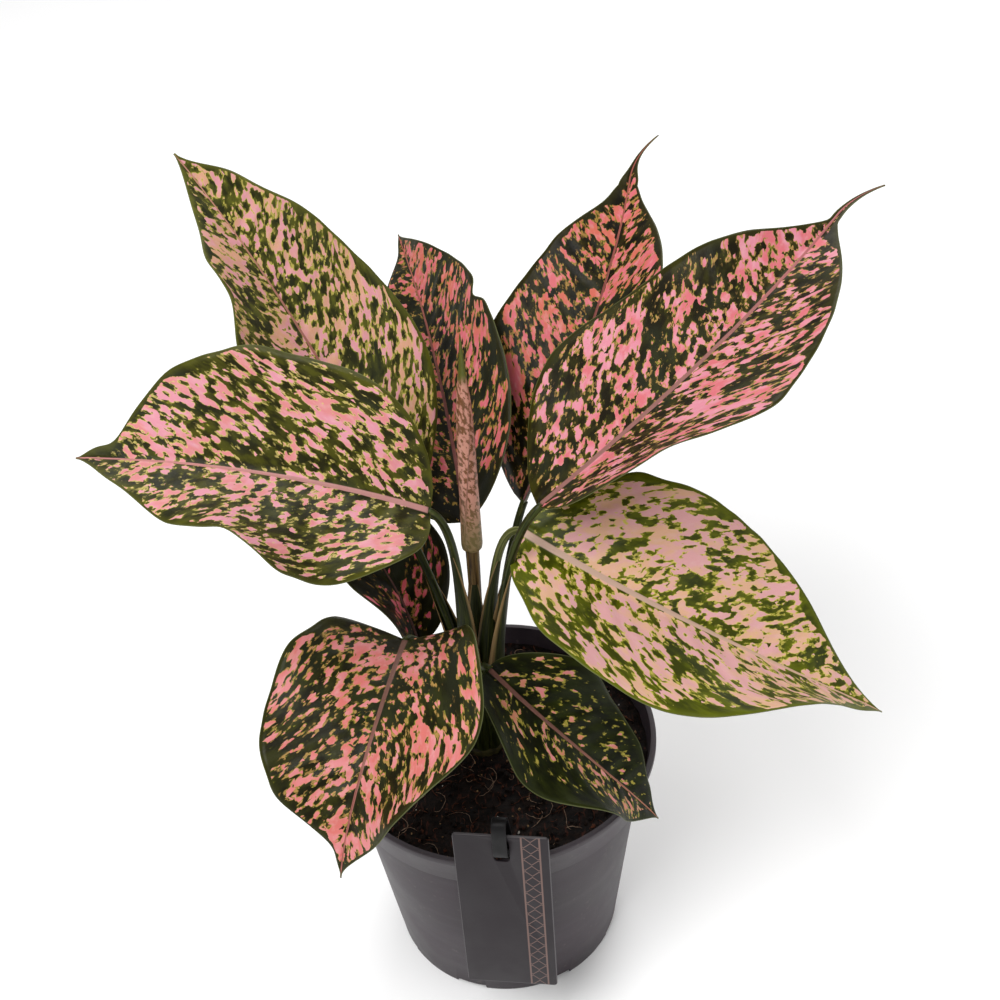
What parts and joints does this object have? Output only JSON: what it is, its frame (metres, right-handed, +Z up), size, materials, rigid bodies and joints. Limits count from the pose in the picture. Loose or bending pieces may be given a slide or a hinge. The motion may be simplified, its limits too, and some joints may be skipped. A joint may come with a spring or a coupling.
{
  "type": "potted chinese evergreen",
  "caption": "House plant in a round plastic nursery pot: broad pink and green blotched leaves on slim stalks from one crown, a rolled young leaf, and a blank card on the rim.",
  "frame": {"origin": "centre of the pot's underside, on the surface it rests on", "axes": "+Z up along the pot's axis; -Y is the front, where the card hangs; +X is to the right seen from the front"},
  "size_m": [0.2682, 0.2594, 0.304],
  "materials": {
    "pot_plastic": "matte black nursery plastic",
    "peat": "moist fibrous peat",
    "stem_skin": "satin stem skin",
    "stalk_skin": "satin dark green stalk",
    "blade": "satin leaf, pink blotches on dark green",
    "young_blade": "satin rolled young leaf",
    "card": "matte dark grey card",
    "strap_plastic": "matte black strap"
  },
  "bodies": {
    "root": {"pot": "pot_plastic", "soil": "peat", "stem": "stem_skin", "leaf_high_left": "blade", "leaf_left": "blade", "leaf_back": "blade", "leaf_back_right": "blade", "leaf_high_right": "blade", "leaf_right": "blade", "leaf_front_left": "blade", "leaf_front_right": "blade", "leaf_low_left": "blade", "stalk_high_left": "stalk_skin", "stalk_left": "stalk_skin", "stalk_back": "stalk_skin", "stalk_back_right": "stalk_skin", "stalk_high_right": "stalk_skin", "stalk_right": "stalk_skin", "stalk_front_left": "stalk_skin", "stalk_front_right": "stalk_skin", "stalk_low_left": "stalk_skin", "new_leaf": "young_blade", "stalk_new_leaf": "stalk_skin", "label_card": "card", "label_strap": "strap_plastic"}
  },
  "joints": []
}
